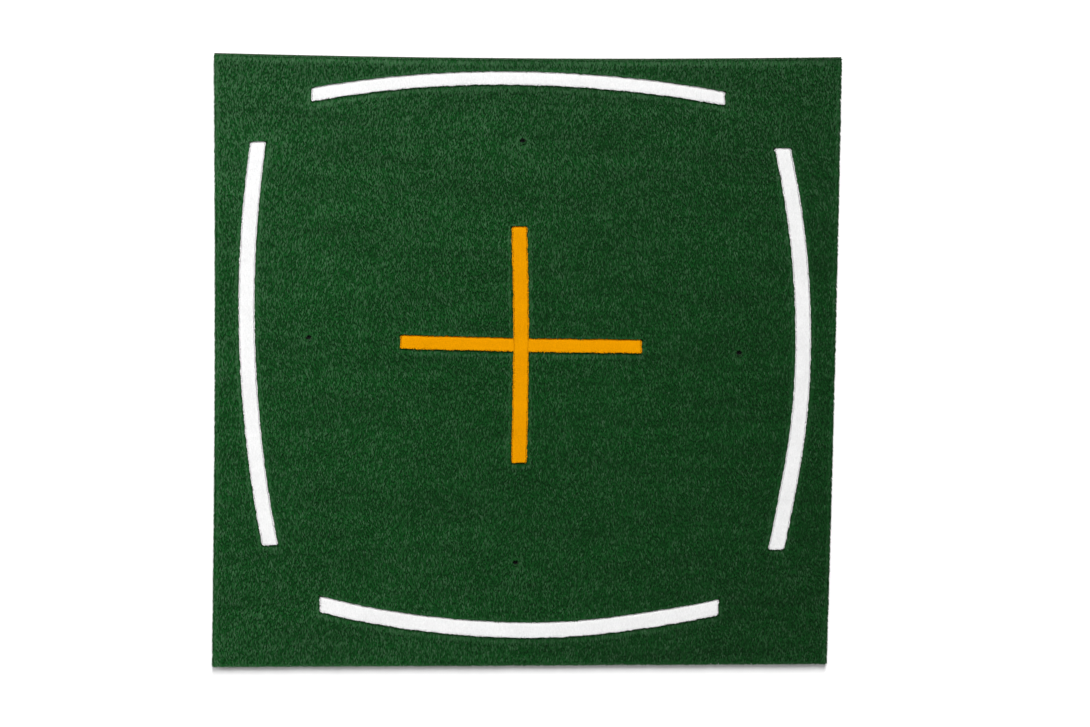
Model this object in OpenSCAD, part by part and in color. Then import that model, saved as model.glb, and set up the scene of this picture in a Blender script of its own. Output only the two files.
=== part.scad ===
// Golf hitting mat: tufted green turf on a foam shock pad, with four tee holes through all layers. White
// swing arcs and a yellow aiming cross are let into the turf as strips of the same make, taped from below.
// The floor is at z = 0, the back edge faces +Y and the right edge faces +X.
// Along an edge, a shift is clockwise round the mat and a turn is anticlockwise, both seen from above.

/* [Mat] */
// Width of the mat, left edge to right edge
mat_w = 1500; // [1400:10:1800]
// Depth of the mat, front edge to back edge
mat_d = 1500; // [1400:10:1800]

/* [Layers] */
// Thickness of the foam shock pad
pad_t = 10; // [6:0.5:20]
// Thickness of the coated backing that holds the tufts
backing_t = 2; // [1:0.25:4]
// Height of the pile above its backing
pile_h = 13; // [8:0.5:20]

/* [Cut edges and seams] */
// Clearance between a strip and the slot cut for it, on each side
seam_gap = 0.5; // [0.3:0.1:1.5]
// How far the top of the pile leans back from a cut edge
lean_w = 1.2; // [0.5:0.1:3]
// Height over which the pile leans back from a cut edge
lean_h = 4; // [1:0.5:6]
// Thickness of the seam tape under a strip
tape_t = 0.6; // [0.3:0.1:1.5]
// How far the seam tape reaches past each side of its strip
tape_margin = 25; // [10:1:40]
// Clearance between the seam tape and its recess in the pad, on each side
tape_gap = 0.5; // [0.3:0.1:1.5]

/* [Tee holes] */
// Diameter of each tee hole
tee_d = 16; // [8:0.5:24]
// Back tee hole, distance in from the back edge
back_tee_inset = 201; // [150:1:300]
// Back tee hole, shift along the back edge
back_tee_shift = -13; // [-80:1:80]
// Front tee hole, distance in from the front edge
front_tee_inset = 260; // [150:1:300]
// Front tee hole, shift along the front edge
front_tee_shift = 16; // [-80:1:80]
// Left tee hole, distance in from the left edge
left_tee_inset = 228; // [150:1:300]
// Left tee hole, shift along the left edge
left_tee_shift = 68; // [-80:1:80]
// Right tee hole, distance in from the right edge
right_tee_inset = 232; // [150:1:300]
// Right tee hole, shift along the right edge
right_tee_shift = -31; // [-80:1:80]

/* [Back arc] */
// Straight length of the back arc, end to end
back_arc_chord = 988; // [700:1:1040]
// How far the middle of the back arc bows out from its ends
back_arc_rise = 44; // [25:1:90]
// Width of the back arc
back_arc_w = 31; // [20:1:50]
// Distance from the back edge to the middle of the back arc
back_arc_inset = 51; // [45:1:110]
// Shift of the back arc along its edge
back_arc_shift = -24; // [-60:1:60]
// Turn of the back arc
back_arc_turn = -0.3; // [-2:0.1:2]

/* [Front arc] */
// Straight length of the front arc, end to end
front_arc_chord = 970; // [700:1:1040]
// How far the middle of the front arc bows out from its ends
front_arc_rise = 62; // [25:1:90]
// Width of the front arc
front_arc_w = 37; // [20:1:50]
// Distance from the front edge to the middle of the front arc
front_arc_inset = 88; // [45:1:110]
// Shift of the front arc along its edge
front_arc_shift = 6; // [-60:1:60]
// Turn of the front arc
front_arc_turn = -0.7; // [-2:0.1:2]

/* [Left arc] */
// Straight length of the left arc, end to end
left_arc_chord = 990; // [700:1:1040]
// How far the middle of the left arc bows out from its ends
left_arc_rise = 42; // [25:1:90]
// Width of the left arc
left_arc_w = 36; // [20:1:50]
// Distance from the left edge to the middle of the left arc
left_arc_inset = 79; // [60:1:110]
// Shift of the left arc along its edge
left_arc_shift = 47; // [-60:1:60]
// Turn of the left arc
left_arc_turn = 1.9; // [-2:0.1:2]

/* [Right arc] */
// Straight length of the right arc, end to end
right_arc_chord = 990; // [700:1:1040]
// How far the middle of the right arc bows out from its ends
right_arc_rise = 57; // [25:1:90]
// Width of the right arc
right_arc_w = 36; // [20:1:50]
// Distance from the right edge to the middle of the right arc
right_arc_inset = 77; // [45:1:110]
// Shift of the right arc along its edge
right_arc_shift = -37; // [-60:1:60]
// Turn of the right arc
right_arc_turn = 0.5; // [-2:0.1:2]

/* [Aiming cross] */
// Place of the crossing, to the right of the mat's centre
cross_x = -12; // [-60:1:60]
// Place of the crossing, behind the mat's centre
cross_y = 49; // [-60:1:60]
// Width of the bar that runs front to back
bar_w = 36; // [20:1:50]
// Length of the bar behind the crossing
bar_back = 290; // [150:1:350]
// Length of the bar in front of the crossing
bar_front = 291; // [150:1:350]
// Turn of the bar
bar_turn = 0.6; // [-2:0.1:2]
// Width of the two side arms
arm_w = 32; // [20:1:50]
// Reach of the left arm from the crossing
left_arm_reach = 289; // [150:1:350]
// Turn of the left arm
left_arm_turn = -1.5; // [-2:0.1:2]
// Reach of the right arm from the crossing
right_arm_reach = 293; // [150:1:350]
// Turn of the right arm
right_arm_turn = -0.7; // [-2:0.1:2]

/* [Hidden] */

// Heights of the layers above the floor
tape_z = pad_t - tape_t;
backing_z = pad_t;
pile_z = pad_t + backing_t;
mat_h = pile_z + pile_h;

// A cut runs this far past the faces it opens
cut = 1;
// Room for the gap and the leaning pile beside a strip's slot
seam_room = seam_gap + 3 * lean_w;
// Facets on a full turn of an arc's large circle, and of a tee hole
arc_fn = 720;
hole_fn = 64;

// Directions of the edges, as the turn that brings the back edge there
BACK = 0;
LEFT = 90;
FRONT = 180;
RIGHT = 270;

green = "#1f5a2c";
white = "whitesmoke";
yellow = "#eb9b03";
backing_grey = "#3b3d3c";
tape_tan = "#b8a98a";
foam_grey = "#26282a";

// Radius of a circle from the chord it spans and the rise over that chord
function arc_radius(chord, rise) = (chord * chord / 4 + rise * rise) / (2 * rise);

// Section of pile whose top leans back from the cut on both sides
module pile_section(width) {
    half = width / 2;
    polygon([
        [-half, 0],
        [half, 0],
        [half, pile_h - lean_h],
        [half - lean_w, pile_h],
        [lean_w - half, pile_h],
        [-half, pile_h - lean_h]
    ]);
}

// Section of the slot that such pile drops into: the green pile leans away from the seam in the same way
module slot_section(width) {
    half = width / 2 + seam_gap;
    polygon([
        [-half, -cut],
        [half, -cut],
        [half, pile_h - lean_h],
        [half + 2 * lean_w, pile_h + lean_h],
        [-half - 2 * lean_w, pile_h + lean_h],
        [-half, pile_h - lean_h]
    ]);
}

// Outline of an arc strip seen from above, with the middle of its bow at the origin, wider by the margin
module arc_outline(chord, rise, width, margin = 0) {
    radius = arc_radius(chord, rise);
    half = width / 2 + margin;
    intersection() {
        translate([0, -radius])
            difference() {
                circle(r = radius + half, $fn = arc_fn);
                circle(r = radius - half, $fn = arc_fn);
            }
        translate([-chord / 2 - margin, -rise - 2 * half])
            square([chord + 2 * margin, rise + 4 * half]);
    }
}

// Outline of a straight strip along Y, from behind the origin to in front of it, wider by the margin
module bar_outline(back, front, width, margin = 0) {
    translate([-width / 2 - margin, -front - margin])
        square([width + 2 * margin, back + front + 2 * margin]);
}

// A flat layer of the outline that its children draw
module layer(z, thickness) {
    translate([0, 0, z])
        linear_extrude(height = thickness)
            children();
}

// Pile along an arc: the first child is its section, swept along the arc, and the second child, drawn along
// the chord, trims its ends
module arc_sweep(chord, rise, width) {
    radius = arc_radius(chord, rise);
    half_depth = rise / 2 + width + seam_room;
    intersection() {
        translate([0, -radius, 0])
            rotate_extrude($fn = arc_fn)
                translate([radius, 0])
                    children(0);
        translate([0, half_depth - rise / 2, 0])
            rotate([90, 0, 0])
                linear_extrude(height = 2 * half_depth)
                    children(1);
    }
}

// Pile along a straight strip, with its sections across and along given by its children
module bar_sweep(back, front, width) {
    half_length = back + front + seam_room;
    half_width = width + seam_room;
    intersection() {
        translate([0, half_length, 0])
            rotate([90, 0, 0])
                linear_extrude(height = 2 * half_length)
                    children(0);
        translate([-half_width, (back - front) / 2, 0])
            rotate([90, 0, 90])
                linear_extrude(height = 2 * half_width)
                    children(1);
    }
}

// Place at an edge of the mat: in from the edge, along it and turned
module at_edge(edge, inset, shift, turn = 0) {
    edge_distance = (edge == BACK || edge == FRONT) ? mat_d / 2 : mat_w / 2;
    rotate(edge)
        translate([shift, edge_distance - inset, 0])
            rotate(turn)
                children();
}

// Places of the four arcs
module at_back_arc() {
    at_edge(BACK, back_arc_inset, back_arc_shift, back_arc_turn) children();
}

module at_front_arc() {
    at_edge(FRONT, front_arc_inset, front_arc_shift, front_arc_turn) children();
}

module at_left_arc() {
    at_edge(LEFT, left_arc_inset, left_arc_shift, left_arc_turn) children();
}

module at_right_arc() {
    at_edge(RIGHT, right_arc_inset, right_arc_shift, right_arc_turn) children();
}

// Pile of one arc strip, and its slot in the green pile
module arc_pile(chord, rise, width) {
    translate([0, 0, pile_z])
        arc_sweep(chord, rise, width) {
            pile_section(width);
            pile_section(chord);
        }
}

module arc_slot(chord, rise, width) {
    translate([0, 0, pile_z])
        arc_sweep(chord, rise, width) {
            slot_section(width);
            slot_section(chord);
        }
}

// Places of the bar and the two arms of the cross: an arm starts at the crossing and runs along local +Y
module at_bar() {
    translate([cross_x, cross_y, 0])
        rotate(bar_turn)
            children();
}

module at_left_arm() {
    translate([cross_x, cross_y, 0])
        rotate(LEFT + left_arm_turn)
            children();
}

module at_right_arm() {
    translate([cross_x, cross_y, 0])
        rotate(RIGHT + right_arm_turn)
            children();
}

// Pile of one straight strip, and its slot in the green pile
module bar_pile(back, front, width) {
    translate([0, 0, pile_z])
        bar_sweep(back, front, width) {
            pile_section(width);
            pile_section(back + front);
        }
}

module bar_slot(back, front, width) {
    translate([0, 0, pile_z])
        bar_sweep(back, front, width) {
            slot_section(width);
            slot_section(back + front);
        }
}

// Cuts for all seven strips through the green pile
module pile_slots() {
    at_back_arc() arc_slot(back_arc_chord, back_arc_rise, back_arc_w);
    at_front_arc() arc_slot(front_arc_chord, front_arc_rise, front_arc_w);
    at_left_arc() arc_slot(left_arc_chord, left_arc_rise, left_arc_w);
    at_right_arc() arc_slot(right_arc_chord, right_arc_rise, right_arc_w);
    at_bar() bar_slot(bar_back, bar_front, bar_w);
    at_left_arm() bar_slot(left_arm_reach, 0, arm_w);
    at_right_arm() bar_slot(right_arm_reach, 0, arm_w);
}

// Outlines of all seven strips in a flat layer
module strip_outlines(margin) {
    at_back_arc() arc_outline(back_arc_chord, back_arc_rise, back_arc_w, margin);
    at_front_arc() arc_outline(front_arc_chord, front_arc_rise, front_arc_w, margin);
    at_left_arc() arc_outline(left_arc_chord, left_arc_rise, left_arc_w, margin);
    at_right_arc() arc_outline(right_arc_chord, right_arc_rise, right_arc_w, margin);
    at_bar() bar_outline(bar_back, bar_front, bar_w, margin);
    at_left_arm() bar_outline(left_arm_reach, 0, arm_w, margin);
    at_right_arm() bar_outline(right_arm_reach, 0, arm_w, margin);
}

module tee_hole() {
    translate([0, 0, -cut])
        cylinder(h = mat_h + 2 * cut, d = tee_d, $fn = hole_fn);
}

module tee_holes() {
    at_edge(BACK, back_tee_inset, back_tee_shift) tee_hole();
    at_edge(FRONT, front_tee_inset, front_tee_shift) tee_hole();
    at_edge(LEFT, left_tee_inset, left_tee_shift) tee_hole();
    at_edge(RIGHT, right_tee_inset, right_tee_shift) tee_hole();
}

module mat_outline() {
    square([mat_w, mat_d], center = true);
}

module green_pile() {
    color(green)
        difference() {
            translate([0, 0, pile_z])
                intersection() {
                    translate([0, mat_d / 2, 0])
                        rotate([90, 0, 0])
                            linear_extrude(height = mat_d)
                                pile_section(mat_w);
                    translate([-mat_w / 2, 0, 0])
                        rotate([90, 0, 90])
                            linear_extrude(height = mat_w)
                                pile_section(mat_d);
                }
            pile_slots();
            tee_holes();
        }
}

module green_backing() {
    color(backing_grey)
        difference() {
            layer(backing_z, backing_t) mat_outline();
            layer(backing_z - cut, backing_t + 2 * cut) strip_outlines(seam_gap);
            tee_holes();
        }
}

module back_arc_pile() {
    color(white)
        at_back_arc() arc_pile(back_arc_chord, back_arc_rise, back_arc_w);
}

module back_arc_backing() {
    color(backing_grey)
        layer(backing_z, backing_t)
            at_back_arc() arc_outline(back_arc_chord, back_arc_rise, back_arc_w);
}

module back_arc_seam_tape() {
    color(tape_tan)
        layer(tape_z, tape_t)
            at_back_arc() arc_outline(back_arc_chord, back_arc_rise, back_arc_w, tape_margin);
}

module front_arc_pile() {
    color(white)
        at_front_arc() arc_pile(front_arc_chord, front_arc_rise, front_arc_w);
}

module front_arc_backing() {
    color(backing_grey)
        layer(backing_z, backing_t)
            at_front_arc() arc_outline(front_arc_chord, front_arc_rise, front_arc_w);
}

module front_arc_seam_tape() {
    color(tape_tan)
        layer(tape_z, tape_t)
            at_front_arc() arc_outline(front_arc_chord, front_arc_rise, front_arc_w, tape_margin);
}

module left_arc_pile() {
    color(white)
        at_left_arc() arc_pile(left_arc_chord, left_arc_rise, left_arc_w);
}

module left_arc_backing() {
    color(backing_grey)
        layer(backing_z, backing_t)
            at_left_arc() arc_outline(left_arc_chord, left_arc_rise, left_arc_w);
}

module left_arc_seam_tape() {
    color(tape_tan)
        layer(tape_z, tape_t)
            at_left_arc() arc_outline(left_arc_chord, left_arc_rise, left_arc_w, tape_margin);
}

module right_arc_pile() {
    color(white)
        at_right_arc() arc_pile(right_arc_chord, right_arc_rise, right_arc_w);
}

module right_arc_backing() {
    color(backing_grey)
        layer(backing_z, backing_t)
            at_right_arc() arc_outline(right_arc_chord, right_arc_rise, right_arc_w);
}

module right_arc_seam_tape() {
    color(tape_tan)
        layer(tape_z, tape_t)
            at_right_arc() arc_outline(right_arc_chord, right_arc_rise, right_arc_w, tape_margin);
}

module cross_bar_pile() {
    color(yellow)
        at_bar() bar_pile(bar_back, bar_front, bar_w);
}

module cross_bar_backing() {
    color(backing_grey)
        layer(backing_z, backing_t)
            at_bar() bar_outline(bar_back, bar_front, bar_w);
}

module cross_bar_seam_tape() {
    color(tape_tan)
        layer(tape_z, tape_t)
            at_bar() bar_outline(bar_back, bar_front, bar_w, tape_margin);
}

// An arm is butted against the bar: each of its layers is cut along the bar's side
module cross_left_arm_pile() {
    color(yellow)
        difference() {
            at_left_arm() bar_pile(left_arm_reach, 0, arm_w);
            layer(pile_z - cut, pile_h + 2 * cut)
                at_bar() bar_outline(bar_back, bar_front, bar_w, seam_gap);
        }
}

module cross_left_arm_backing() {
    color(backing_grey)
        layer(backing_z, backing_t)
            difference() {
                at_left_arm() bar_outline(left_arm_reach, 0, arm_w);
                at_bar() bar_outline(bar_back, bar_front, bar_w, seam_gap);
            }
}

module cross_left_arm_seam_tape() {
    color(tape_tan)
        layer(tape_z, tape_t)
            difference() {
                at_left_arm() bar_outline(left_arm_reach, 0, arm_w, tape_margin);
                at_bar() bar_outline(bar_back, bar_front, bar_w, tape_margin + tape_gap);
            }
}

module cross_right_arm_pile() {
    color(yellow)
        difference() {
            at_right_arm() bar_pile(right_arm_reach, 0, arm_w);
            layer(pile_z - cut, pile_h + 2 * cut)
                at_bar() bar_outline(bar_back, bar_front, bar_w, seam_gap);
        }
}

module cross_right_arm_backing() {
    color(backing_grey)
        layer(backing_z, backing_t)
            difference() {
                at_right_arm() bar_outline(right_arm_reach, 0, arm_w);
                at_bar() bar_outline(bar_back, bar_front, bar_w, seam_gap);
            }
}

module cross_right_arm_seam_tape() {
    color(tape_tan)
        layer(tape_z, tape_t)
            difference() {
                at_right_arm() bar_outline(right_arm_reach, 0, arm_w, tape_margin);
                at_bar() bar_outline(bar_back, bar_front, bar_w, tape_margin + tape_gap);
            }
}

// The pad's top is recessed for the tapes, so that the turf lies flat on both
module shock_pad() {
    color(foam_grey)
        difference() {
            layer(0, pad_t) mat_outline();
            layer(tape_z, tape_t + cut) strip_outlines(tape_margin + tape_gap);
            tee_holes();
        }
}

green_pile();
green_backing();
back_arc_pile();
back_arc_backing();
back_arc_seam_tape();
front_arc_pile();
front_arc_backing();
front_arc_seam_tape();
left_arc_pile();
left_arc_backing();
left_arc_seam_tape();
right_arc_pile();
right_arc_backing();
right_arc_seam_tape();
cross_bar_pile();
cross_bar_backing();
cross_bar_seam_tape();
cross_left_arm_pile();
cross_left_arm_backing();
cross_left_arm_seam_tape();
cross_right_arm_pile();
cross_right_arm_backing();
cross_right_arm_seam_tape();
shock_pad();
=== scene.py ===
"""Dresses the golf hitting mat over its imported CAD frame: tufted pile, inlaid lines, coated backing and foam pad.

Everything is in metres in the frame of the CAD model: the floor is z = 0, +Y is the back edge and +X the right edge.
"""

import math

import bpy
import numpy as np
from mathutils import Matrix, Vector
from mathutils.geometry import delaunay_2d_cdt


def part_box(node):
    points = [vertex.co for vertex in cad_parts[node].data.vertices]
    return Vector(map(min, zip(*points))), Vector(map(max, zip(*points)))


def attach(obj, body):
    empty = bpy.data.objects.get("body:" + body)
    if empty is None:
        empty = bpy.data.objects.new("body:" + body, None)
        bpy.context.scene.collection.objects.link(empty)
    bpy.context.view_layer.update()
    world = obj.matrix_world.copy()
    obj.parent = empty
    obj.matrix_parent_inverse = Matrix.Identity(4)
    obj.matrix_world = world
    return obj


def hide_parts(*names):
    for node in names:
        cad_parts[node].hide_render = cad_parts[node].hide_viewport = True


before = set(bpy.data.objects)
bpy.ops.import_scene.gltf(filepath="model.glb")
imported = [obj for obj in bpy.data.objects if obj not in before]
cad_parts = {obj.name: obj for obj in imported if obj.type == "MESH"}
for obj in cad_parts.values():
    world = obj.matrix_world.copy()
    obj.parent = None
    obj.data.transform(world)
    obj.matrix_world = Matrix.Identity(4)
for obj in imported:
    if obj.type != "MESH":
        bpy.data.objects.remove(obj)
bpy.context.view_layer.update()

MM = 0.001
SEED = 20

ARCS = ("back_arc", "front_arc", "left_arc", "right_arc")
CROSS = ("cross_bar", "cross_left_arm", "cross_right_arm")

# How the photograph was taken: a long lens, almost straight above and leaning in from the back edge
LENS_MM = 200
CAMERA_TARGET = Vector((0.048, 0.004, 0.025))
CAMERA_DISTANCE = 14.6
CAMERA_AZIMUTH = -162.7
CAMERA_ELEVATION = 77.3
CAMERA_ROLL = 0.85
CAMERA_RANGE = 200

# The studio: a floor that runs into a white horizon without a line, under a dimmer sky. The sky's span is the sine of
# the heights between which the one turns into the other.
FLOOR_HALF = 3
FLOOR_WHITE = 0.84
HORIZON_GLOW = 1.05
SKY_GLOW = 0.27
SKY_SPAN = (0.03, 0.12)

# Heights and size, from the frame
PILE_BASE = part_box("green_pile")[0].z
PILE_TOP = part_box("green_pile")[1].z
BACKING_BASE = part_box("green_backing")[0].z
TAPE_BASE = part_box("back_arc_seam_tape")[0].z
MAT_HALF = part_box("green_pile")[1].x

# Outlines: what counts as one height or point, steps, widths and limits. A point is no corner where the cosine between
# the ways to its two neighbours is below NO_CORNER.
SAME_HEIGHT = 0.01 * MM
SAME_POINT = 1e-7
POINT_DECIMALS = 7
RIM_STEP = 6 * MM
RIM_WIDTH = 15 * MM
TEE_HOLE_LIMIT = 30 * MM
NO_CORNER = -0.7
CORNER_POINTS = 6
LINE_CORNER = 6 * MM

# Edges that were cut by hand: the back and left edges bow in, the right one bows out and the front one runs off. The
# rim's zone, the middle of the back hollow and the reach of the lines are shares of half the mat. The back edge lies in
# by a share of its hollow in the middle, and stands out at its ends.
RIM_ZONE = 0.03
BACK_HOLLOW = 8 * MM
BACK_HOLLOW_MIDDLE = 0.12
BACK_HOLLOW_SHARE = 0.5
LEFT_HOLLOW = 4.5 * MM
RIGHT_BOW = 2 * MM
FRONT_TAPER = 2.4 * MM
FRONT_SLANT = 0.75
LINES_REACH = 0.98

# The knife's waver along the lines: its size, and two waves in radians to the metre for the shifts in X and in Y
WAVER = 0.5 * MM
WAVER_START = (0, 1)
WAVES = (((81, 71), (129, 97)), ((53, -187), (-203, 49)))

# Where the lines were laid off their true curves, in millimetres: middle, reach and shift
STRAYS = (
    ((310, -620), (170, 120), (0, 5)),
    ((-150, -640), (250, 120), (0, 2.5)),
    ((620, -330), (100, 150), (-4.5, 0)),
    ((-630, -60), (110, 350), (2, 0)),
    ((-250, 640), (250, 100), (0, 3)),
    ((-12, 60), (50, 120), (2, 0)),
    ((-12, 330), (50, 90), (-3, 0)),
    ((-12, -240), (50, 80), (-2.5, 0)),
)

# Where the yellow lines meet, how near to it their inner ends lie, and how far those are pushed into the long line
CROSSING_X = -12 * MM
CROSSING_REACH = 30 * MM
BUTTED = 3 * MM

# How wide a tee hole stays in the foam, against the punch that made it, and how far the foam stops short of the rim
FOAM_HOLE_SHARE = 0.22
FOAM_SETBACK = 2 * MM

# The bed of dense pile, whose side leans in towards the top
FIELD_BED_TOP = PILE_BASE + 0.66 * (PILE_TOP - PILE_BASE)
LINE_BED_TOP = PILE_BASE + 0.95 * (PILE_TOP - PILE_BASE)
BED_SHOULDER = 4 * MM
BED_FOOT_INSET, BED_SHOULDER_INSET, BED_TOP_INSET = 1.4 * MM, 1.6 * MM, 3.2 * MM
BED_TONE = 0.35

# Where tufts stand: rows from side to side, and more of them along every cut edge
ROW_PITCH = 5.6 * MM
STITCH_PITCH = 2.2 * MM
ROOT_JITTER = 0.42
EDGE_PITCH = 2.3 * MM
EDGE_INSETS = (1.5 * MM, 4.2 * MM, 7.0 * MM)
EDGE_JITTER = 0.8 * MM
TUFTS_PER_PIECE = 21000

# A tuft's form. Its rings give height, lean and girth as shares of the whole. Wisps are the long, pale tufts on top.
TUFT_SIDES = 3
TUFT_RINGS = ((0.0, 0.0, 0.8), (0.88, 0.50, 1.0))
TUFT_WIDTH = 3.5 * MM
WISP_WIDTH = 3.2 * MM
WIDTH_SPREAD = (0.75, 1.2)
TUFT_REACH_MM = (6, 11)
WISP_REACH_MM = (9, 17)
WISP_SHARE = 0.36
WISP_RAGGED = 0.3
UNEVEN = 0.5 * MM
UNEVEN_BLOTCH = 30 * MM

# The way the tufts lean, in degrees from +X: to the front, drifting from place to place, with some the other way
TO_FRONT = -90
LEAN_DRIFT = 10
LEAN_BLOTCH = 90 * MM
LEAN_SPREAD = 15
REACH_DRIFT = 0.2
REACH_BLOTCH = 50 * MM
CONTRARY_SHARE = 0.12
CONTRARY_REACH = -0.7

# Tufts near a cut edge. The outermost row is shorter and stands from the backing up; at the back rim it leans in.
# Behind an edge that the tufts lean away from, the bed lies bare. Tufts that would reach too far out are pulled in.
EDGE_REACH = 20 * MM
EDGE_BAND = 2.5 * MM
EDGE_DROP = 1.0 * MM
EDGE_LEAN = 0.8
BACK_RIM_LEAN = -0.5
FACES_BACK = 0.7
BARE_REACH = 9 * MM
BARE_DEPTH = 0.3 * MM
TOO_FAR_OUT = 1.5 * MM
PULLED_IN = 0.3

# How far tufts lean out over an edge
RIM_OVERHANG = 4.5 * MM
HOLE_OVERHANG = 6.5 * MM
HOLE_REACH = 16 * MM
FIELD_SEAM_OVERHANG = -2.4 * MM
LINE_SEAM_OVERHANG_MM = 1.3
LINE_SEAM_RAGGED_MM = 2.0
LINE_SEAM_BLOTCH = 7 * MM
OVERHANG_SPREAD = (0.3, 1)
STRAY_SHARE = 0.04
STRAY_REACH_MM = (1, 3.5)

# The tone of a tuft, from dark 0 to pale 1: its mean and spread, and what is added for its kind and its place. Bare
# tufts and the outer row over an edge get painted light. The field gets a painted falloff of light that is paler to the
# left, to the back and at both ends. Tufts that stand back from a seam get painted shade, less where the seam lies
# towards the light at their back.
TONE, TONE_SPREAD = 0.28, 0.2
WISP_TONE = 0.38
PAINTED_BARE_LIGHT = 0.12
PAINTED_RIM_LIGHT = 0.15
PAINTED_LIGHT_TO_LEFT, PAINTED_LIGHT_TO_BACK, PAINTED_LIGHT_AT_ENDS = 0.08, 0.08, 0.14
SEAM_SHADE_TONE, LIT_SEAM_TONE = 0.2, 0.3

# Yarn colour: how far below the bed's top the roots' painted shade is full, the share of it that is left along the rim,
# and the way along which a painted falloff of light makes the mat darker
ROOT_SHADE_DEPTH = 3 * MM
RIM_SHELTER = 0.3
LIGHT_FALLOFF_WAY = (1, -0.5, 0)
LIGHT_FALLOFF_REACH = 1.4 * MAT_HALF

# Between these lie most of the values of a noise texture
NOISE_SPAN = (0.3, 0.7)


# ---- Outlines ----


def footprint(node):
    """Closed loops round the lowest face of a CAD solid, as arrays of points in plan."""
    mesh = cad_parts[node].data
    mesh.calc_loop_triangles()
    points = np.array([v.co for v in mesh.vertices])
    points, index = np.unique(np.round(points, POINT_DECIMALS), axis=0, return_inverse=True)
    triangles = index.ravel()[np.array([t.vertices for t in mesh.loop_triangles])]
    low = points[:, 2].min()
    flat = triangles[(points[triangles, 2] < low + SAME_HEIGHT).all(1)]
    follows = dict(open_edges(flat))
    loops = []
    while follows:
        start, at = follows.popitem()
        loop = [start]
        while at != start:
            loop.append(at)
            at = follows.pop(at)
        loops.append(points[loop, :2])
    return loops


def open_edges(triangles):
    """The directed edges round the outside of a patch of triangles."""
    directed = {(a, b) for t in triangles.tolist() for a, b in zip(t, t[1:] + t[:1])}
    return [(a, b) for a, b in directed if (b, a) not in directed]


def refined(loop, step):
    """The same loop with points no further apart than the step."""
    out = []
    for a, b in zip(loop, np.roll(loop, -1, 0)):
        count = max(1, math.ceil(np.linalg.norm(b - a) / step))
        out.append(a + (b - a) * np.arange(count)[:, None] / count)
    return np.vstack(out)


def hand_cut(points):
    """Points of an outline as a knife really cut them: bowed rims, lines laid a little off, and a waver along them."""
    x, y = points.T / MAT_HALF
    sides = (np.clip((side - (1 - RIM_ZONE)) / RIM_ZONE, 0, 1) for side in (x, -x, y, -y))
    on_right, on_left, on_back, on_front = sides
    hollow = BACK_HOLLOW * (BACK_HOLLOW_SHARE - (x - BACK_HOLLOW_MIDDLE) ** 2)
    shift_x = LEFT_HOLLOW * (1 - y**2) * on_left - RIGHT_BOW * y**2 * on_right
    shift_y = FRONT_TAPER * (1 + FRONT_SLANT * x) * on_front - hollow * on_back
    shift = np.stack([shift_x, shift_y], 1)
    inlay = (np.maximum(np.abs(x), np.abs(y)) < LINES_REACH)[:, None]
    for middle, reach, stray in STRAYS:
        near = np.exp(-(((points / MM - middle) / reach) ** 2).sum(1))[:, None]
        shift += inlay * near * np.array(stray) * MM
    long_wave, short_wave = WAVES
    waver = np.sin(points @ long_wave + WAVER_START) + np.sin(points @ short_wave)
    return points + shift + inlay * waver * WAVER / 2


def is_tee_hole(loop):
    return np.ptp(loop, axis=0).max() < TEE_HOLE_LIMIT


def on_rim(points):
    """Which points lie along the mat's outer rim."""
    return np.abs(points).max(1) > MAT_HALF - RIM_WIDTH


def rounded(loop, radius):
    """The loop with its sharp corners eased off over the radius."""
    out = []
    for before, at, after in zip(np.roll(loop, 1, 0), loop, np.roll(loop, -1, 0)):
        back, on = before - at, after - at
        back, on = back / np.linalg.norm(back), on / np.linalg.norm(on)
        if back @ on < NO_CORNER:
            out.append(at)
            continue
        for t in np.linspace(0, 1, CORNER_POINTS):
            out.append(at + radius * (back * (1 - t) ** 2 + on * t**2))
    return np.array(out)


def outline(node, corner=0.0):
    """Loops of a CAD solid in plan, as they were really cut, with corners eased off over the given radius."""
    loops = [rounded(loop, corner) if corner else loop for loop in footprint(node)]
    return [loop if is_tee_hole(loop) else hand_cut(refined(loop, RIM_STEP)) for loop in loops]


def inward_normals(loop):
    """The direction into the material at each point of a loop."""
    along = np.roll(loop, -1, 0) - np.roll(loop, 1, 0)
    along /= np.linalg.norm(along, axis=1)[:, None]
    return np.stack([along[:, 1], -along[:, 0]], 1)


def inside(points, loops):
    """Which points lie inside the loops, holes left out."""
    order = np.argsort(points[:, 1])
    heights = points[order, 1]
    result = np.zeros(len(points), bool)
    for loop in loops:
        for (ax, ay), (bx, by) in zip(loop, np.roll(loop, -1, 0)):
            low, high = np.searchsorted(heights, sorted((ay, by)))
            level = order[low:high]
            result[level] ^= points[level, 0] < ax + (points[level, 1] - ay) * (bx - ax) / (by - ay or 1)
    return result


def nearest_edge(points, loops, reach):
    """Distance from each point to the loops, up to a reach, and the direction to the nearest place on them."""
    order = np.argsort(points[:, 1])
    heights = points[order, 1]
    best = np.full(len(points), reach)
    way = np.zeros_like(points)
    for loop in loops:
        for a, b in zip(loop, np.roll(loop, -1, 0)):
            low, high = np.searchsorted(heights, (min(a[1], b[1]) - reach, max(a[1], b[1]) + reach))
            level = order[low:high]
            level = level[np.abs(points[level, 0] - (a[0] + b[0]) / 2) < abs(a[0] - b[0]) / 2 + reach]
            along = b - a
            t = np.clip((points[level] - a) @ along / (along @ along), 0, 1)
            to_edge = a + t[:, None] * along - points[level]
            distance = np.hypot(to_edge[:, 0], to_edge[:, 1])
            nearer = distance < best[level]
            best[level[nearer]] = distance[nearer]
            way[level[nearer]] = to_edge[nearer]
    return best, way / np.maximum(best, 1e-9)[:, None]


# ---- Meshes ----


def wall(edges, low, high):
    """Triangles that join a ring of points to the same ring higher up, whose numbers start at low and at high."""
    a, b = np.array(edges).T
    return [np.stack([a + low, b + low, b + high], 1), np.stack([a + low, b + high, a + high], 1)]


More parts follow.
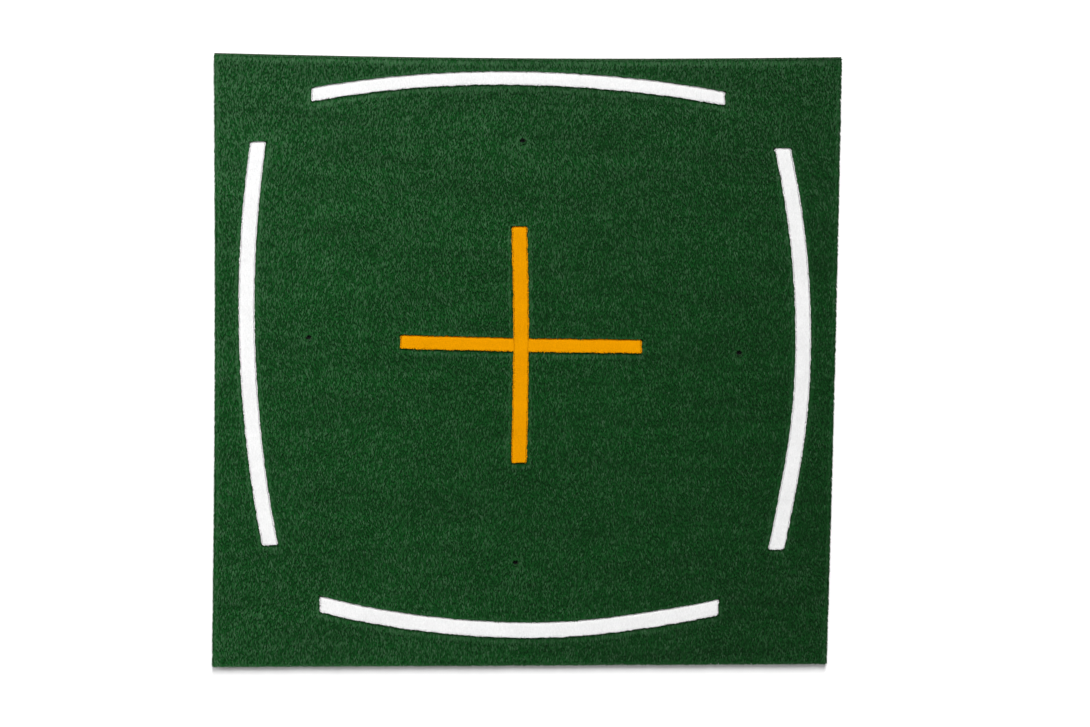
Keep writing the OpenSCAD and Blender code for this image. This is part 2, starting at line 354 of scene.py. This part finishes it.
def plate(loops, profile, recesses=(), recess_base=0.0):
    """A closed slab over the loops, as points and triangles. The profile gives its side from bottom to top, as
    heights and how far the side stands in from the loop there. Recesses are loops sunk into its top."""
    every = [*loops, *recesses]
    points = np.vstack(every)
    starts = np.cumsum([0] + [len(loop) for loop in every])
    edges = [(s + i, s + (i + 1) % n) for s, n in zip(starts, map(len, every)) for i in range(n)]
    found = delaunay_2d_cdt([Vector(p) for p in points], edges, [], 0, SAME_POINT, True)
    places, faces, origins = np.array([tuple(v) for v in found[0]]), np.array(found[2]), found[3]
    middles = places[faces].mean(1)
    sunk = inside(middles, recesses)
    solid = inside(middles, loops)
    faces = np.array([o[0] for o in origins])[faces]

    count = len(points)
    inward = np.vstack([inward_normals(loop) for loop in loops] + [np.zeros_like(loop) for loop in recesses])
    rings = [np.c_[points + inward * inset, np.full(count, z)] for z, inset in (*profile, (recess_base, 0.0))]
    top, floor = (len(profile) - 1) * count, len(profile) * count
    triangles = [faces[solid][:, ::-1], faces[solid & ~sunk] + top]
    rim = open_edges(faces[solid])
    for level in range(len(profile) - 1):
        triangles += wall(rim, level * count, (level + 1) * count)
    if recesses:
        brink = [(b, a) for a, b in open_edges(faces[sunk])]
        triangles += [faces[sunk] + floor, *wall(brink, floor, top)]
    used, triangles = np.unique(np.vstack(triangles), return_inverse=True)
    return np.vstack(rings)[used], triangles.reshape(-1, 3)


def piece(name, points, triangles, material, tone, shelter, uv=None):
    """A mesh object that rides on the mat. Each point has its tone, and its shelter: 1 where other yarn shades its
    root, less where the root stands in the light. The uv is each corner's place on the bake map."""
    mesh = bpy.data.meshes.new(name)
    mesh.vertices.add(len(points))
    mesh.vertices.foreach_set("co", np.ascontiguousarray(points, np.float32).ravel())
    mesh.loops.add(triangles.size)
    mesh.loops.foreach_set("vertex_index", np.ascontiguousarray(triangles, np.int32).ravel())
    mesh.polygons.add(len(triangles))
    mesh.polygons.foreach_set("loop_start", np.arange(0, triangles.size, 3, dtype=np.int32))
    mesh.polygons.foreach_set("use_smooth", np.zeros(len(triangles), bool))
    mesh.update(calc_edges=True)
    for key, values in (("tone", tone), ("shelter", shelter)):
        mesh.attributes.new(key, "FLOAT", "POINT").data.foreach_set("value", values.astype(np.float32))
    if uv is not None:
        mesh.uv_layers.new(name="OFBake").data.foreach_set("uv", uv.astype(np.float32).ravel())
    mesh.materials.append(material)
    made = bpy.data.objects.new(name, mesh)
    bpy.context.scene.collection.objects.link(made)
    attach(made, "root")
    return made


def slab(name, slot, node, loops, profile, material, **recess):
    """A plate that takes the place of a CAD solid."""
    points, triangles = plate(loops, profile, **recess)
    top = profile[-1][0]
    outer_side = on_rim(points[:, :2]) & (points[:, 2] < top)
    shelter = np.where(outer_side, RIM_SHELTER, 1.0)
    made = piece(name, points, triangles, material, np.full(len(points), BED_TONE), shelter)
    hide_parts(node)
    return made


# ---- Tufts ----


def soft_noise(points, size, rng):
    """Smooth random values from -1 to 1 over the plan, with blotches of about the given size."""
    cells = points / size
    cells = cells - cells.min(0)
    corner = np.floor(cells).astype(int)
    part = cells - corner
    part = part * part * (3 - 2 * part)
    grid = rng.uniform(-1, 1, corner.max(0) + 2)
    ix, iy = corner[:, 0], corner[:, 1]
    near = grid[ix, iy] * (1 - part[:, 0]) + grid[ix + 1, iy] * part[:, 0]
    far = grid[ix, iy + 1] * (1 - part[:, 0]) + grid[ix + 1, iy + 1] * part[:, 0]
    return near * (1 - part[:, 1]) + far * part[:, 1]


def field_roots(loops, fineness, rng):
    """Places of the tufts inside the loops, in staggered rows with the unevenness of a tufting machine."""
    low, high = np.vstack(loops).min(0), np.vstack(loops).max(0)
    stitch, row = STITCH_PITCH * fineness, ROW_PITCH * fineness
    x, y = np.meshgrid(np.arange(low[0], high[0], stitch), np.arange(low[1], high[1], row))
    x[1::2] += stitch / 2
    roots = np.stack([x.ravel(), y.ravel()], 1)
    roots += rng.uniform(-ROOT_JITTER, ROOT_JITTER, roots.shape) * (stitch, row)
    return roots[inside(roots, loops)]


def edge_roots(loops, rows, rng):
    """Places of the tufts that stand along every cut edge, in the given number of rows."""
    roots = []
    for loop in loops:
        fine = refined(loop, EDGE_PITCH)
        for inset in EDGE_INSETS[:rows]:
            depth = inset + rng.uniform(0, EDGE_JITTER, len(fine))
            roots.append(fine + inward_normals(fine) * depth[:, None])
    return np.vstack(roots)


# A tuft's triangles: rings of corners at its foot and at its bend, then the tip
SIDE = np.arange(TUFT_SIDES)
NEXT = (SIDE + 1) % TUFT_SIDES
TIP = 2 * TUFT_SIDES
TUFT_FACES = np.vstack([
    np.stack([SIDE, NEXT, NEXT + TUFT_SIDES], 1),
    np.stack([SIDE, NEXT + TUFT_SIDES, SIDE + TUFT_SIDES], 1),
    np.stack([SIDE + TUFT_SIDES, NEXT + TUFT_SIDES, np.full(TUFT_SIDES, TIP)], 1),
])


def tuft_points(roots, lean, width, foot, top, rng):
    """Corners of tapered, bent yarns. Lean is the way from each root to its tip in plan."""
    turn = rng.uniform(0, 2 * math.pi, len(roots))[:, None] + SIDE * 2 * math.pi / TUFT_SIDES
    ring = np.stack([np.cos(turn), np.sin(turn)], 2) * (width / 2)[:, None, None]
    levels = []
    for rise, bend, girth in TUFT_RINGS:
        z = np.broadcast_to((foot + (top - foot) * rise)[:, None, None], (len(roots), TUFT_SIDES, 1))
        levels.append(np.dstack([roots[:, None] + lean[:, None] * bend + ring * girth, z]))
    tip = np.dstack([(roots + lean)[:, None], top[:, None, None]])
    return np.concatenate(levels + [tip], 1)


def tuft_uv(count):
    """Each tuft in a cell of its own on the bake map, its sides unrolled next to each other."""
    margin = 0.1
    corners = np.array([[(k, 0), (k + 1, 0), (k + 1, 1)] for k in SIDE]
                       + [[(k, 0), (k + 1, 1), (k, 1)] for k in SIDE]
                       + [[(k, 1), (k + 1, 1), (k + 0.5, 2)] for k in SIDE])
    across = math.ceil(math.sqrt(count))
    cell = np.stack([np.arange(count) % across, np.arange(count) // across], 1)
    return (cell[:, None, None] + margin + (1 - 2 * margin) * corners / (TUFT_SIDES, 2)) / across


def free_lean(roots, fineness, rng):
    """Which tufts are wisps, and the way that each tuft leans where no edge is near."""
    count = len(roots)
    drift = LEAN_DRIFT * soft_noise(roots, LEAN_BLOTCH, rng)
    sweep = np.radians(TO_FRONT + drift + rng.normal(0, LEAN_SPREAD, count))
    wisp = rng.uniform(size=count) < WISP_SHARE
    reach = np.where(wisp, rng.uniform(*WISP_REACH_MM, count), rng.uniform(*TUFT_REACH_MM, count))
    reach = fineness * reach * MM
    reach *= 1 + REACH_DRIFT * soft_noise(roots, REACH_BLOTCH, rng)
    reach *= np.where(rng.uniform(size=count) < CONTRARY_SHARE, CONTRARY_REACH, 1)
    return wisp, np.stack([np.cos(sweep), np.sin(sweep)], 1) * reach[:, None]


def edge_lean(roots, lean, outward, loops, distance, way, over):
    """The lean of all tufts with those near an edge set right. The outermost ones lean over it by the given amount, or
    stand back from it where that is below 0, and the others reach no further than that."""
    at_edge = distance < EDGE_BAND
    wanted = np.where(at_edge, distance + over, np.minimum(outward, distance + over))
    lean = lean + way * (wanted - outward)[:, None]
    lean[at_edge] *= EDGE_LEAN
    lean[at_edge & on_rim(roots) & (way[:, 1] > FACES_BACK)] *= BACK_RIM_LEAN
    outside = np.flatnonzero(~inside(roots + lean, loops))
    stretch = nearest_edge((roots + lean)[outside], loops, EDGE_REACH)[0] - np.maximum(over[outside], 0)
    lean[outside[stretch > TOO_FAR_OUT]] *= PULLED_IN
    return lean


def turf(name, slot, node, loops, rng, bed_top, depth, ragged, fineness, edge_rows, overhang):
    """Pile over an outline, in place of a CAD solid: a dense bed, and tufts that lean mostly to the front. The tufts
    along an edge stand back from a seam, or lean over it by the overhang."""
    bed_profile = (
        (PILE_BASE, BED_FOOT_INSET),
        (bed_top - BED_SHOULDER, BED_SHOULDER_INSET),
        (bed_top, BED_TOP_INSET),
    )
    pile = [slab(f"{name}_bed", slot, node, loops, bed_profile, bed_yarn[slot])]

    roots = np.vstack([field_roots(loops, fineness, rng), edge_roots(loops, edge_rows, rng)])
    count = len(roots)
    distance, way = nearest_edge(roots, loops, EDGE_REACH)
    at_edge = distance < EDGE_BAND
    wisp, lean = free_lean(roots, fineness, rng)
    over = overhang(roots) * rng.uniform(*OVERHANG_SPREAD, count)
    stray = rng.uniform(size=count) < STRAY_SHARE
    over = np.where(stray, np.maximum(over, rng.uniform(*STRAY_REACH_MM, count) * MM), over)
    outward = (lean * way).sum(1)
    bare = (outward < 0) & (distance < BARE_REACH) & ~at_edge
    lean = edge_lean(roots, lean, outward, loops, distance, way, over)

    drop = rng.uniform(0, ragged, count) * np.where(wisp, WISP_RAGGED, 1)
    top = PILE_TOP - drop - UNEVEN * soft_noise(roots, UNEVEN_BLOTCH, rng)
    top = np.where(at_edge, top - EDGE_DROP, np.minimum(top, PILE_TOP))
    foot = np.where(at_edge, PILE_BASE, np.where(bare, bed_top - BARE_DEPTH, bed_top - depth))
    width = fineness * np.where(wisp, WISP_WIDTH, TUFT_WIDTH) * rng.uniform(*WIDTH_SPREAD, count)
    width = np.where(at_edge, np.minimum(width, EDGE_PITCH), width)
    points = tuft_points(roots, lean, width, foot, top, rng)

    x, y = roots.T / MAT_HALF
    # Painted light: bare tufts behind an edge get a paler tone
    tone = rng.normal(TONE, TONE_SPREAD, count) + WISP_TONE * wisp + PAINTED_BARE_LIGHT * bare
    # Painted falloff of light: paler to the left, to the back and towards the front and back ends
    tone = np.clip(tone - PAINTED_LIGHT_TO_LEFT * x + PAINTED_LIGHT_TO_BACK * y + PAINTED_LIGHT_AT_ENDS * y**2, 0, 1)
    # Painted shade: tufts that stand back from a seam are darkened, less where the seam lies behind them towards the
    # light
    painted_seam_shade = SEAM_SHADE_TONE + LIT_SEAM_TONE * np.maximum(way[:, 1], 0)
    # Painted light: the outer row that leans over an edge gets a paler tone
    tone = np.where(at_edge, np.where(over < 0, painted_seam_shade * tone, tone + PAINTED_RIM_LIGHT), tone)
    shelter = np.where(at_edge & on_rim(roots), RIM_SHELTER, 1.0)

    bands = np.array_split(np.argsort(roots[:, 0], kind="stable"), math.ceil(count / TUFTS_PER_PIECE))
    for number, band in enumerate(bands, 1):
        corners = points.shape[1]
        faces = TUFT_FACES + (np.arange(len(band)) * corners)[:, None, None]
        tufts = piece(
            f"{name}_tufts_{number}" if len(bands) > 1 else f"{name}_tufts",
            points[band].reshape(-1, 3),
            faces.reshape(-1, 3),
            tuft_yarn[slot],
            tone[band].repeat(corners),
            shelter[band].repeat(corners),
            tuft_uv(len(band)),
        )
        pile.append(tufts)
    return pile


# ---- Materials ----


class Nodes:
    """A new material whose shader is fed by procedural nodes."""

    def __init__(self, name, **shader):
        self.material = bpy.data.materials.new(name)
        self.material.use_nodes = True
        self.tree = self.material.node_tree
        self.shader = self.tree.nodes["Principled BSDF"]
        for socket, value in shader.items():
            self.shader.inputs[socket.replace("_", " ")].default_value = value

    def add(self, kind, **settings):
        node = self.tree.nodes.new(kind)
        for key, value in settings.items():
            if key in node.inputs:
                node.inputs[key].default_value = value
            else:
                setattr(node, key, value)
        return node

    def link(self, source, target):
        self.tree.links.new(source, target)

    def place(self):
        return self.add("ShaderNodeTexCoord").outputs["Object"]

    def attribute(self, name):
        return self.add("ShaderNodeAttribute", attribute_name=name).outputs["Fac"]

    def noise(self, size, detail, stretch=(1, 1, 1)):
        """Noise with features of about the given size, drawn out along an axis where its stretch is below 1."""
        node = self.add("ShaderNodeTexNoise", Scale=1 / size, Detail=detail)
        mapping = self.add("ShaderNodeMapping", Scale=stretch)
        self.link(self.place(), mapping.inputs["Vector"])
        self.link(mapping.outputs["Vector"], node.inputs["Vector"])
        return node.outputs["Fac"]

    def ramp(self, factor, *stops):
        """Colours at places along the factor."""
        node = self.add("ShaderNodeValToRGB")
        elements = node.color_ramp.elements
        while len(elements) < len(stops):
            elements.new(0.5)
        for element, (at, colour) in zip(elements, stops):
            element.position, element.color = at, (*colour, 1)
        self.link(factor, node.inputs["Fac"])
        return node.outputs["Color"]

    def blotched(self, factor, dark, light):
        """From the dark colour to the light one, over the span of a noise."""
        return self.ramp(factor, *zip(NOISE_SPAN, (dark, light)))

    def scaled(self, factor, low, high, span=(0, 1)):
        """The factor's span, stretched to another. The low end can be what another node gives out."""
        node = self.add("ShaderNodeMapRange", **{"From Min": span[0], "From Max": span[1], "To Max": high})
        if isinstance(low, bpy.types.NodeSocket):
            self.link(low, node.inputs["To Min"])
        else:
            node.inputs["To Min"].default_value = low
        self.link(factor, node.inputs["Value"])
        return node.outputs["Result"]

    def times(self, colour, factor):
        """The colour, darkened or lightened by a factor."""
        node = self.add("ShaderNodeMix", data_type="RGBA", blend_type="MULTIPLY")
        node.inputs[0].default_value = 1
        self.link(colour, node.inputs[6])
        self.link(factor, node.inputs[7])
        return node.outputs[2]

    def bump(self, height, depth, strength):
        node = self.add("ShaderNodeBump", Distance=depth, Strength=strength)
        self.link(height, node.inputs["Height"])
        self.link(node.outputs["Normal"], self.shader.inputs["Normal"])

    def rough(self, factor, low, high):
        self.link(self.scaled(factor, low, high, NOISE_SPAN), self.shader.inputs["Roughness"])

    def coloured(self, colour):
        self.link(colour, self.shader.inputs["Base Color"])
        return self.material


def tinted(colour, factor):
    return tuple(min(1.0, c * factor) for c in colour)


def yarn(name, colour, spread, pale, root_shade, bands, shine, light_falloff, bed=False):
    """Pile yarn: each tuft has its own tone, fine fibres, and a root in painted shade. A painted falloff of light makes
    the yarn lighter towards the back left and darker towards the front right. In the bed below the tufts, the fibres
    lie as the tufts do, with painted shade in the gaps between them."""
    n = Nodes(name, Specular_IOR_Level=shine)
    light = [c + pale for c in tinted(colour, 1 + spread)]
    shade = n.ramp(n.attribute("tone"), (0, tinted(colour, 1 - spread)), (0.5, colour), (1, light))

    place = n.add("ShaderNodeSeparateXYZ")
    n.link(n.place(), place.inputs["Vector"])
    root = n.scaled(n.attribute("shelter"), 1, root_shade)
    shade = n.times(shade, n.scaled(place.outputs["Z"], root, 1, (FIELD_BED_TOP - ROOT_SHADE_DEPTH, PILE_TOP)))

    rows = n.noise(30 * MM, detail=2, stretch=(0.1, 1, 1))
    shade = n.times(shade, n.scaled(rows, 1 - bands, 1 + bands, NOISE_SPAN))
    if bed:
        # Painted shade: the gaps between the bed's fibres darken down to the roots' painted shade
        fibres = n.noise(1.5 * MM, detail=2, stretch=(1, 0.14, 1))
        shade = n.times(shade, n.scaled(fibres, low=root_shade, high=1.1, span=NOISE_SPAN))
        n.bump(fibres, depth=0.5 * MM, strength=0.5)
    else:
        fibres = n.noise(0.8 * MM, detail=1, stretch=(1, 1, 0.12))
        shade = n.times(shade, n.scaled(fibres, 1 - spread, 1 + spread, NOISE_SPAN))
        n.bump(fibres, depth=0.15 * MM, strength=0.5)
    n.rough(fibres, low=0.5, high=0.75)

    # Painted falloff of light: the yarn is lighter towards the back left and darker towards the front right
    falloff_way = n.add("ShaderNodeVectorMath", operation="DOT_PRODUCT")
    n.link(n.place(), falloff_way.inputs[0])
    falloff_way.inputs[1].default_value = LIGHT_FALLOFF_WAY
    span = (-LIGHT_FALLOFF_REACH, LIGHT_FALLOFF_REACH)
    return n.coloured(n.times(shade, n.scaled(falloff_way.outputs["Value"], 1 + light_falloff, 1 - light_falloff, span)))


def coated_backing():
    """Woven cloth under a dull latex coat."""
    n = Nodes("coated_backing")
    stains = n.noise(4 * MM, detail=4)
    weave = n.add("ShaderNodeTexWave", Scale=1 / (2.4 * MM), Distortion=1.5, bands_direction="DIAGONAL")
    n.link(n.place(), weave.inputs["Vector"])
    colour = n.blotched(stains, dark=(0.030, 0.022, 0.015), light=(0.060, 0.046, 0.033))
    n.rough(stains, low=0.7, high=0.9)
    n.bump(weave.outputs["Fac"], depth=0.3 * MM, strength=0.6)
    return n.coloured(n.times(colour, n.scaled(weave.outputs["Fac"], low=0.7, high=1.1)))


def closed_cell_foam():
    """Charcoal foam with the fine cells that a knife leaves open, and paler scuffs."""
    n = Nodes("closed_cell_foam", Specular_IOR_Level=0.1)
    cells = n.add("ShaderNodeTexVoronoi", Scale=1 / (1.6 * MM))
    n.link(n.place(), cells.inputs["Vector"])
    scuffs = n.noise(9 * MM, detail=5)
    colour = n.blotched(scuffs, dark=(0.009, 0.009, 0.010), light=(0.021, 0.021, 0.023))
    n.rough(scuffs, low=0.95, high=0.7)
    n.bump(cells.outputs["Distance"], depth=0.25 * MM, strength=0.7)
    return n.coloured(n.times(colour, n.scaled(cells.outputs["Distance"], low=1.15, high=0.7)))


def seam_tape():
    """Loose tan cloth, stained by its glue."""
    n = Nodes("seam_tape")
    glue = n.noise(15 * MM, detail=4)
    threads = n.noise(1.0 * MM, detail=2, stretch=(1, 0.2, 1))
    colour = n.blotched(glue, dark=(0.34, 0.28, 0.19), light=(0.50, 0.43, 0.31))
    n.rough(glue, low=0.55, high=0.9)
    n.bump(threads, depth=0.15 * MM, strength=0.5)
    return n.coloured(n.times(colour, n.scaled(threads, low=0.8, high=1.1, span=NOISE_SPAN)))


GREEN = (0.0009, 0.0460, 0.0050)
WHITE = (0.630, 0.630, 0.630)
YELLOW = (0.578, 0.231, 0.0005)

YARNS = {
    "green_yarn": dict(colour=GREEN, spread=0.12, pale=0.023, root_shade=0.40, bands=0.14, shine=0.10, light_falloff=0.26),
    "white_yarn": dict(colour=WHITE, spread=0.09, pale=0, root_shade=0.9, bands=0.02, shine=0.05, light_falloff=0.01),
    "yellow_yarn": dict(colour=YELLOW, spread=0.09, pale=0, root_shade=0.9, bands=0.02, shine=0.0, light_falloff=0.01),
}
tuft_yarn = {name: yarn(name, **look) for name, look in YARNS.items()}
bed_yarn = {name: yarn(f"{name}_bed", **look, bed=True) for name, look in YARNS.items()}
backing_material = coated_backing()
foam_material = closed_cell_foam()
tape_material = seam_tape()


# ---- Turf ----

rng = np.random.default_rng(SEED)
tee_holes = np.array([loop.mean(0) for loop in footprint("green_pile") if is_tee_hole(loop)])


def over_rim(roots):
    """How far the field's yarn leans past an edge: past the rim and into the tee holes, but back from a seam."""
    hole = np.linalg.norm(roots[:, None] - tee_holes, axis=2).min(1) < HOLE_REACH
    return np.where(on_rim(roots), RIM_OVERHANG, np.where(hole, HOLE_OVERHANG, FIELD_SEAM_OVERHANG))


def over_seam(roots):
    """A line's yarn leans a little past its seam, more in some places than in others."""
    return (LINE_SEAM_OVERHANG_MM + LINE_SEAM_RAGGED_MM * soft_noise(roots, LINE_SEAM_BLOTCH, rng)) * MM


def butted(loop):
    """A short line of the cross with its inner end pushed into the pile of the long one."""
    inner = np.abs(loop[:, 0] - CROSSING_X) < CROSSING_REACH
    loop = loop.copy()
    loop[inner, 0] += np.sign(CROSSING_X - loop[inner, 0]) * BUTTED
    return loop


def foam_cut(loop):
    """An outline cut in foam: the rim stands a little under the turf, and a punched hole closes in again."""
    if is_tee_hole(loop):
        return loop.mean(0) + (loop - loop.mean(0)) * FOAM_HOLE_SHARE
    return loop + inward_normals(loop) * FOAM_SETBACK


def backed(name):
    """The coated backing of a turf, laid on another piece."""
    loops = outline(f"{name}_backing")
    profile = ((BACKING_BASE, 0.0), (PILE_BASE, 0.0))
    backing = slab(f"{name}_turf_backing", "coated_backing", f"{name}_backing", loops, profile, backing_material)


tapes = {line: outline(f"{line}_seam_tape") for line in ARCS + CROSS}
eased_edges = ((0.0, 1.4 * MM), (1.4 * MM, 0.2 * MM), (BACKING_BASE - 0.8 * MM, 0.0), (BACKING_BASE, 0.6 * MM))
pad = slab(
    "foam_shock_pad",
    "foam",
    "shock_pad",
    [foam_cut(loop) for loop in outline("shock_pad")],
    eased_edges,
    foam_material,
    recesses=[loop for loops in tapes.values() for loop in loops],
    recess_base=TAPE_BASE,
)

field = turf(
    "green",
    "green_yarn",
    "green_pile",
    outline("green_pile"),
    rng,
    bed_top=FIELD_BED_TOP,
    depth=3 * MM,
    ragged=4.5 * MM,
    fineness=1.0,
    edge_rows=3,
    overhang=over_rim,
)
backed("green")

for line in ARCS + CROSS:
    loops = outline(f"{line}_pile", LINE_CORNER)
    if line.endswith("_arm"):
        loops = [butted(loop) for loop in loops]
    strip = turf(
        line,
        "white_yarn" if line in ARCS else "yellow_yarn",
        f"{line}_pile",
        loops,
        rng,
        bed_top=LINE_BED_TOP,
        depth=0.6 * MM,
        ragged=0.5 * MM,
        fineness=0.5,
        edge_rows=1,
        overhang=over_seam,
    )
    backed(line)
    tape_profile = ((TAPE_BASE, 0.0), (BACKING_BASE, 0.0))
    tape = slab(f"{line}_joining_tape", "seam_tape", f"{line}_seam_tape", tapes[line], tape_profile, tape_material)


# ---- Floor, light and camera ----

floor_mesh = bpy.data.meshes.new("floor")
floor_corners = [(x * FLOOR_HALF, y * FLOOR_HALF, 0) for x, y in ((-1, -1), (1, -1), (1, 1), (-1, 1))]
floor_mesh.from_pydata(floor_corners, [], [(0, 1, 2, 3)])
floor = bpy.data.objects.new("floor", floor_mesh)
bpy.context.scene.collection.objects.link(floor)
floor_colour = (FLOOR_WHITE, FLOOR_WHITE, FLOOR_WHITE, 1)
floor_paint = Nodes("floor_paint", Base_Color=floor_colour, Roughness=0.9, Specular_IOR_Level=0.0)
floor_mesh.materials.append(floor_paint.material)

world = bpy.data.worlds.new("studio")
world.use_nodes = True
nodes, links = world.node_tree.nodes, world.node_tree.links
direction = nodes.new("ShaderNodeSeparateXYZ")
glow = nodes.new("ShaderNodeMapRange")
for key, value in zip(("From Min", "From Max", "To Min", "To Max"), (*SKY_SPAN, HORIZON_GLOW, SKY_GLOW)):
    glow.inputs[key].default_value = value
links.new(nodes.new("ShaderNodeTexCoord").outputs["Generated"], direction.inputs["Vector"])
links.new(direction.outputs["Z"], glow.inputs["Value"])
links.new(glow.outputs["Result"], nodes["Background"].inputs["Strength"])
nodes["Background"].inputs["Color"].default_value = (1, 1, 1, 1)
bpy.context.scene.world = world


def soft_light(name, place, width, height, watts):
    """A soft box that shines on the middle of the mat."""
    data = bpy.data.lights.new(name, "AREA")
    data.shape = "RECTANGLE"
    data.size, data.size_y = width, height
    data.energy = watts
    lamp = bpy.data.objects.new(name, data)
    lamp.location = place
    lamp.rotation_euler = Vector(place).to_track_quat("Z", "Y").to_euler()
    bpy.context.scene.collection.objects.link(lamp)


soft_light("key", place=(-0.4, 25.0, 26.0), width=8.0, height=24.0, watts=19500)
soft_light("window", place=(-3.6, 1.0, 3.2), width=2.0, height=2.0, watts=78)
soft_light("fill", place=(1.5, -9.0, 3.6), width=6.0, height=3.0, watts=150)

azimuth, elevation = math.radians(CAMERA_AZIMUTH), math.radians(CAMERA_ELEVATION)
away = Vector((
    math.sin(azimuth) * math.cos(elevation),
    -math.cos(azimuth) * math.cos(elevation),
    math.sin(elevation),
))
across = Vector((0, 1, 0)).cross(away).normalized()
axes = Matrix((across, away.cross(across), away)).transposed() @ Matrix.Rotation(math.radians(CAMERA_ROLL), 3, "Z")
camera_data = bpy.data.cameras.new("camera")
camera_data.lens = LENS_MM
camera_data.clip_end = CAMERA_RANGE
camera = bpy.data.objects.new("camera", camera_data)
camera.matrix_world = Matrix.Translation(CAMERA_TARGET + away * CAMERA_DISTANCE) @ axes.to_4x4()
bpy.context.scene.collection.objects.link(camera)
bpy.context.scene.camera = camera
bpy.context.scene.view_settings.view_transform = "Standard"
